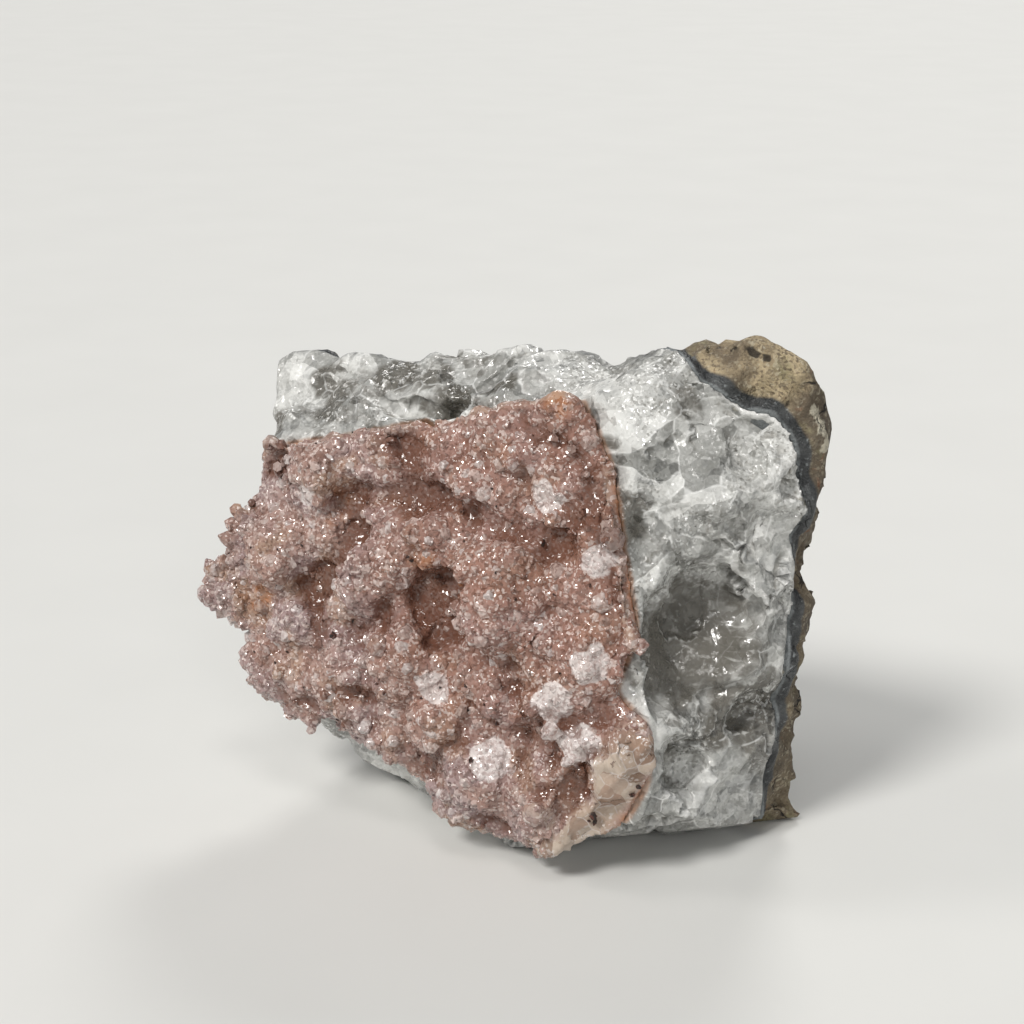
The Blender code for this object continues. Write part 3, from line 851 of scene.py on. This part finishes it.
draw = np.random.default_rng(60)
right_edge = (fresh > 0.5) & (peach < 0.2) & (ways[:, 0] > 0.7) & (inner < 0.3)
bearing = np.flatnonzero(((open_front > 0.5) | right_edge) & (lump_points[:, 2] > 1.2))
on_rim = step(-lump_points[:, 0], *RIM_STARTS) * (1.0 - step(lump_points[:, 2], *RIM_ENDS))
fine = spaced(lump_points, draw.permutation(bearing), FINE_APART)[:FINE_CRYSTALS]
widths = np.clip(FINE_WIDTH * draw.lognormal(0.0, 0.32, len(fine)), *FINE_LIMITS)
lengths = widths * draw.uniform(*FINE_LENGTHS, len(fine)) * (1.0 + 2.2 * on_rim[fine])
lower = 1.0 - 0.45 * step(-level[fine], 0.3, 1.9)
widths *= 0.5 + 0.5 * lower
lengths *= lower
axes = ways[fine] + FINE_LEAN * draw.normal(size=(len(fine), 3))
sunk = 0.5 * widths
roots = lump_points[fine] - ways[fine] * sunk[:, None]
fine_points = grow("fine_points", point_shape(SHOULDER, 0.16), roots, axes, widths, lengths + sunk, draw)

glinting_white_patches = []
for centre, radius in GLINTING_WHITE_PATCHES:
    seat = lump_tree.find(centre)[1]
    glinting_white_patches.append((lump_points[seat], 1.5 * radius, 1.0))
fold = ((lump_points - soften(druse, FOLD_ROUNDS)) * ways).sum(1)


def mark_druse(obj, fold, level, tone, frost_and_glint, clear):
    """What the pink material needs to know about each vertex of a piece of the druse."""
    points = places(obj)
    mark(obj, "fold", fold)
    mark(obj, "level", level)
    mark(obj, "tone", tone)
    shaken = points + 1.3 * np.column_stack([clouds(points, 2.5, seed) for seed in (61, 62, 63)])
    # The frost mark holds frosted crystals and the white patches painted as glints.
    white = np.maximum(0.7 * spots_of(shaken, FROSTED), spots_of(shaken, glinting_white_patches))
    mark(obj, "frost_and_glint", np.maximum(frost_and_glint, white))
    mark(obj, "clear", clear)
    mark(obj, "warm", step(points[:, 0], -30.0, 0.0) * step(points[:, 2], 12.0, 34.0))
    mark(obj, "stain", spots_of(points, STAINS))
    mark(obj, "from_quartz", distance_to(points, "quartz_body"))


nothing = np.zeros(len(lump_points))
mark_druse(druse, fold, level * open_front, nothing + 0.5, nothing, nothing)
mark(druse, "fresh", np.maximum(peach, 0.35 * fresh) * (1.0 - inner))
corner_count = len(fine_points.data.vertices) // len(fine)
fine_tones = draw.uniform(0.0, 1.0, len(fine)).repeat(corner_count)
nothing = np.zeros(len(fine_tones))
mark_druse(fine_points, nothing, level[fine].repeat(corner_count), fine_tones, nothing, nothing + 0.25)


def pink_material(name, broken_faces):
    """Pink crystal. Only the crust below the crystals has folds with painted shade, a contact line and smooth
    broken faces with painted glints.
    """
    paint = Paint(name)
    level_wire = paint.marked("level")
    tone = paint.marked("tone")
    clear = paint.marked("clear")
    pink = paint.mix(paint.rise(paint.cloud(11 * MM, 2.0), 0.38, 0.62), PINK, MAUVE)
    pink = paint.mix(paint.rise(paint.cloud(8 * MM, 3.0, paint.warped(9 * MM, 6 * MM)), 0.5, 0.66), pink, TAN)
    pink = paint.mix(paint.marked("warm") * (0.35 + 0.65 * paint.cloud(6 * MM, 3.0)), pink, WARM_PINK)
    # Painted shade: the valleys between the lumps are painted dark red-brown.
    sunken_shade = paint.rise(level_wire + 1.2 * (paint.cloud(3 * MM, 3.0) - 0.5), -0.2, -2.2)
    pink = paint.mix(sunken_shade * 0.8, pink, DEEP_RED_AND_SHADE)
    pink = paint.mix(paint.rise(tone, 0.6, 1.0) * 0.4, pink, PALE_PINK_AND_GLINT)
    pink = paint.mix(paint.rise(tone, 0.4, 0.0) * 0.3, pink, DEEP_RED_AND_SHADE)
    # The facets are painted pale or dark inside, each its own way: painted glints and painted dark
    # reflections.
    flash_place = paint.warped(1.2 * MM, 0.4 * MM)
    flash = paint.cell_tone(FLASH, flash_place)
    pink = paint.mix(paint.rise(flash, 0.78, 0.90) * (0.62 - 0.5 * sunken_shade), pink, PALE_PINK_AND_GLINT)
    pink = paint.mix(paint.rise(flash, 0.30, 0.16) * 0.45, pink, DEEP_RED_AND_SHADE)
    stained = paint.marked("stain") * paint.rise(paint.cloud(2.5 * MM, 3.0), 0.35, 0.6)
    pink = paint.mix(stained, pink, ORANGE_STAIN)
    # Frosted crystals and the white patches are painted white, each facet paler or darker by chance: frost
    # and painted glints.
    frost_and_glint_share = paint.rise(paint.marked("frost_and_glint") + 0.5 * (paint.cloud(1.2 * MM, 2.0) - 0.5), 0.32, 0.55)
    pink = paint.mix(frost_and_glint_share * 0.68, pink, paint.mix(paint.rise(flash, 0.1, 0.6), FROST_SHADE, FROST_AND_GLINT_WHITE))
    wide = paint.facets(1.3 * MM, 0.4, flash_place)
    normal = paint.facets(FLASH, 0.6, flash_place, wide)
    share = 0.05 + 0.18 * clear
    if broken_faces:
        # Painted shade: the folds of the crust are painted dark red-brown.
        crease_shade = paint.rise(paint.marked("fold") + 0.3 * (paint.cloud(2 * MM, 3.0) - 0.5), -0.02, -0.4)
        pink = paint.mix(crease_shade * 0.6, pink, DEEP_RED_AND_SHADE)
        contact = 1 - paint.rise(paint.marked("from_quartz") + 1.4 * paint.cloud(2.5 * MM, 2.0), 1.0, 2.2)
        pink = paint.mix(contact * 0.75, pink, ORANGE_STAIN)
        plate_place = paint.warped(3 * MM, 1.5 * MM)
        plate_tone = paint.cell_tone(PLATE, plate_place) * 0.7 + 0.3 * paint.cloud(3 * MM, 3.0)
        broken = paint.mix(paint.rise(plate_tone, 0.15, 0.85), SALMON_DEEP, PALE_SALMON)
        # Painted glints: bright lines on the plates' edges and bright flecks on the broken face.
        plate_gaps = paint.cells(PLATE, "Distance", plate_place, "DISTANCE_TO_EDGE")
        plate_edge_glints = 1 - paint.rise(plate_gaps, 0.0, 0.05)
        broken = paint.mix(plate_edge_glints * paint.rise(paint.cloud(2 * MM), 0.42, 0.55) * 0.6, broken, GLINT)
        brown_spots = paint.rise(paint.cloud(0.9 * MM, 3.0, paint.warped(2 * MM, 1.5 * MM)), 0.60, 0.66)
        brown_spots = brown_spots * paint.rise(paint.cloud(4.5 * MM), 0.54, 0.62)
        glitter_face = paint.rise(flash, 0.7, 0.85) * paint.rise(paint.cloud(3.5 * MM), 0.5, 0.6)
        broken = paint.mix(glitter_face * 0.7, broken, GLINT)
        broken = paint.mix(brown_spots * 0.9, broken, DARK_SPOT)
        fresh_wire = paint.marked("fresh")
        pink = paint.mix(fresh_wire * 0.85, pink, broken)
        plates = paint.facets(PLATE, 0.9, plate_place)
        relief = paint.bump(paint.cloud(0.9 * MM, 3.0), 0.05 * MM, plates)
        shares = {0: 1 - 0.7 * fresh_wire, 4: relief, 5: normal}
        normal = paint.node("Mix", {"data_type": "VECTOR"}, shares, 1)
        share = share + 0.2 * fresh_wire
    body = paint.principled({
        "Base Color": pink,
        "Roughness": 0.14 - 0.09 * paint.rise(flash, 0.3, 0.6),
        "Normal": normal,
        "IOR": QUARTZ_IOR,
    })
    glassy = paint.principled({
        "Base Color": PINK_GLASS,
        "Roughness": 0.06,
        "Normal": normal,
        "IOR": QUARTZ_IOR,
        "Transmission Weight": 1.0,
    })
    pink_shader = paint.node("MixShader", None, {0: share, 1: body, 2: glassy})
    inside = paint.node("VolumeAbsorption", None, {"Color": PINK_INSIDE, "Density": PINK_DENSITY})
    return paint.finish(pink_shader, inside)


pink_crystal = pink_material("pink crystal", False)
hand_over(druse, pink_material("pink amethyst", True), "amethyst_crust")
hand_over(fine_points, pink_crystal, None)

# Out of the crust stand single clear points of 1.5 to 4.5 mm, with edges that catch the light: many on
# the left rim, where they stand further out and make it jagged, and a few large ones on the front.
CLEAR_POINTS = 800
CLEAR_APART = 2.3
CLEAR_WIDTH = 2.3
CLEAR_LIMITS = (1.4, 3.8)
CLEAR_LENGTHS = (0.12, 0.42)
CLEAR_LEAN = 0.28
CLEAR_BEVEL = 0.035
# The crystal that stands furthest to the left: width and how far it stands out.
LEFTMOST_POINT = (3.2, 2.4)
# The large ones: place, width and how far each stands out.
LARGE_POINTS = (
    ((28.4, -19.4, 62.0), 4.2, 1.6),
    ((-10.8, -22.4, 24.9), 4.4, 1.8),
    ((37.9, -18.1, 28.6), 3.4, 1.5),
    ((14.4, -12.0, 79.0), 3.8, 1.4),
    ((15.3, -21.9, 34.5), 3.6, 0.9),
    ((-5.8, -25.4, 36.5), 3.2, 1.2),
    ((-30.0, -20.0, 50.0), 3.2, 1.2),
)
far_left = lump_points[:, 0].argmin()
bearing = np.flatnonzero((open_front > 0.85) & (lump_points[:, 2] > 2.0) & (level > -0.6))
liking = draw.uniform(0.0, 1.0, len(bearing)) - 1.2 * on_rim[bearing] - 0.3 * step(level[bearing], 0.0, 1.5)
single = spaced(lump_points, bearing[np.argsort(liking)], CLEAR_APART)[:CLEAR_POINTS]
widths = np.clip(CLEAR_WIDTH * draw.lognormal(0.0, 0.28, len(single)), *CLEAR_LIMITS)
lengths = widths * draw.uniform(*CLEAR_LENGTHS, len(single)) * (1.0 + 1.8 * on_rim[single])
large = np.array([lump_tree.find(centre)[1] for centre, _, _ in LARGE_POINTS] + [far_left])
single = np.concatenate([single, large])
widths = np.concatenate([widths, [p[1] for p in LARGE_POINTS], [LEFTMOST_POINT[0]]])
lengths = np.concatenate([lengths, [p[2] for p in LARGE_POINTS], [LEFTMOST_POINT[1]]])
axes = ways[single] + CLEAR_LEAN * draw.normal(size=(len(single), 3))
sunk = 0.55 * widths
roots = lump_points[single] - ways[single] * sunk[:, None]
clear_shape = point_shape(SHOULDER, 0.14, CLEAR_BEVEL)
clear_points = grow("clear_points", clear_shape, roots, axes, widths, lengths + sunk, draw)
corner_count = len(clear_points.data.vertices) // len(single)
clear_tones = draw.uniform(0.3, 1.0, len(single)).repeat(corner_count)
frost_and_glint_share = draw.uniform(0.0, 0.5, len(single)).repeat(corner_count)
nothing = np.zeros(len(clear_tones))
mark_druse(clear_points, nothing, level[single].repeat(corner_count), clear_tones, frost_and_glint_share, nothing + 1.0)
hand_over(clear_points, pink_crystal, None)

# Specks of black to dark red iron oxide, up to a millimetre and a half, sit on and between the crystals.
# They are soft powdery grains that grew there last.
SPECK_PLACES = (
    (8.9, -17.8, 65.0), (-6.7, -22.1, 52.2), (-5.6, -22.1, 51.4), (15.8, -23.6, 49.6), (19.3, -19.2, 58.1),
    (5.7, -23.5, 27.6), (11.2, -23.1, 25.4), (9.2, -24.9, 18.0), (-18.5, -21.4, 38.4), (-21.6, -22.8, 35.4),
    (36.2, -19.3, 19.8), (35.6, -19.4, 18.6), (29.8, -21.4, 13.8), (30.2, -21.2, 12.2), (28.9, -21.6, 12.6),
)
SPECK_RADII = (0.24, 0.40)
LOOSE_SPECKS = 60
LOOSE_RADII = (0.09, 0.22)
IRON_BLACK = (0.022, 0.014, 0.011)
IRON_RED = (0.10, 0.03, 0.018)
spots = [lump_tree.find(place)[1] for place in SPECK_PLACES]
spots += list(draw.choice(bearing, LOOSE_SPECKS, replace=False))
bm = bmesh.new()
for index, spot in enumerate(spots):
    radius = draw.uniform(*(SPECK_RADII if index < len(SPECK_PLACES) else LOOSE_RADII))
    speck = bmesh.ops.create_icosphere(bm, subdivisions=2, radius=radius * MM)["verts"]
    squash = Vector(draw.uniform(0.5, 1.6, 3))
    for vertex in speck:
        shake = noise.noise(vertex.co / (0.25 * MM) + Vector((index, 0, 0)))
        vertex.co = vertex.co * squash * (1.0 + 0.9 * shake)
    seat = lump_points[spot] + ways[spot] * (0.25 + 0.3 * radius)
    bmesh.ops.translate(bm, verts=speck, vec=Vector(seat * MM))
mesh = bpy.data.meshes.new("iron_specks")
bm.to_mesh(mesh)
bm.free()
specks = bpy.data.objects.new("iron_specks", mesh)
bpy.context.scene.collection.objects.link(specks)
paint = Paint("iron oxide specks")
iron = paint.mix(paint.rise(paint.cloud(0.5 * MM, 3.0), 0.45, 0.65), IRON_BLACK, IRON_RED)
relief = paint.bump(paint.cloud(0.2 * MM, 3.0), 0.05 * MM)
iron_shader = paint.principled({"Base Color": iron, "Roughness": 0.55, "Normal": relief})
hand_over(specks, paint.finish(iron_shader), None)

# The floor is a plain pale sheet. A soft lamp far off shines from above the front, weaker ones beside it
# make the crystals glint, one lights the back, and the camera looks from the photograph's side.
AZIMUTH = 32.0
ELEVATION = 18.0
LENS = 75.0
CAMERA_FAR = 0.360
TARGET = Vector((0.00477, -0.00688, 0.0575))
FLOOR_HALF = 12.0
FLOOR_GREY = (0.74, 0.74, 0.72)
FLOOR_SHADE = (0.70, 0.70, 0.68)
LAMP_WHITE = (1.0, 0.98, 0.95)
SKY_GREY = (0.80, 0.84, 0.88)
SKY_STRENGTH = 0.21
# Each lamp's name, the way to it, its strength and how wide it looks in degrees.
SOFT_LAMPS = (
    ("key lamp", (-0.11, -0.99, 1.0), 2.1, 15.0),
    ("top lamp", (0.2, -0.35, 1.0), 0.4, 16.0),
    ("left lamp", (-0.9, -0.5, 0.7), 0.5, 16.0),
    ("right lamp", (0.75, -0.8, 0.55), 0.45, 16.0),
    ("back lamp", (-0.3, 0.9, 0.8), 0.8, 16.0),
)

bm = bmesh.new()
bmesh.ops.create_grid(bm, x_segments=1, y_segments=1, size=FLOOR_HALF)
mesh = bpy.data.meshes.new("floor")
bm.to_mesh(mesh)
bm.free()
floor = bpy.data.objects.new("floor", mesh)
bpy.context.scene.collection.objects.link(floor)
paint = Paint("pale floor")
grey = paint.mix(paint.cloud(40 * MM, 3.0), FLOOR_GREY, FLOOR_SHADE)
floor.data.materials.append(paint.finish(paint.principled({"Base Color": grey, "Roughness": 0.7})))

for name, way, strength, width in SOFT_LAMPS:
    light = bpy.data.lights.new(name, "SUN")
    light.energy = strength
    light.angle = math.radians(width)
    light.color = LAMP_WHITE
    obj = bpy.data.objects.new(name, light)
    obj.rotation_euler = Vector(way).to_track_quat("Z", "Y").to_euler()
    bpy.context.scene.collection.objects.link(obj)

world = bpy.data.worlds.new("studio")
bpy.context.scene.world = world
world.use_nodes = True
sky = world.node_tree.nodes["Background"]
sky.inputs["Color"].default_value = (*SKY_GREY, 1.0)
sky.inputs["Strength"].default_value = SKY_STRENGTH

camera = bpy.data.objects.new("camera", bpy.data.cameras.new("camera"))
bpy.context.scene.collection.objects.link(camera)
camera.data.lens = LENS
camera.data.clip_start = 0.01
turn = math.radians(AZIMUTH)
lift = math.radians(ELEVATION)
way = Vector((math.sin(turn) * math.cos(lift), -math.cos(turn) * math.cos(lift), math.sin(lift)))
camera.location = TARGET + way * CAMERA_FAR
camera.rotation_euler = way.to_track_quat("Z", "Y").to_euler()
bpy.context.scene.camera = camera
bpy.context.scene.view_settings.view_transform = "Standard"
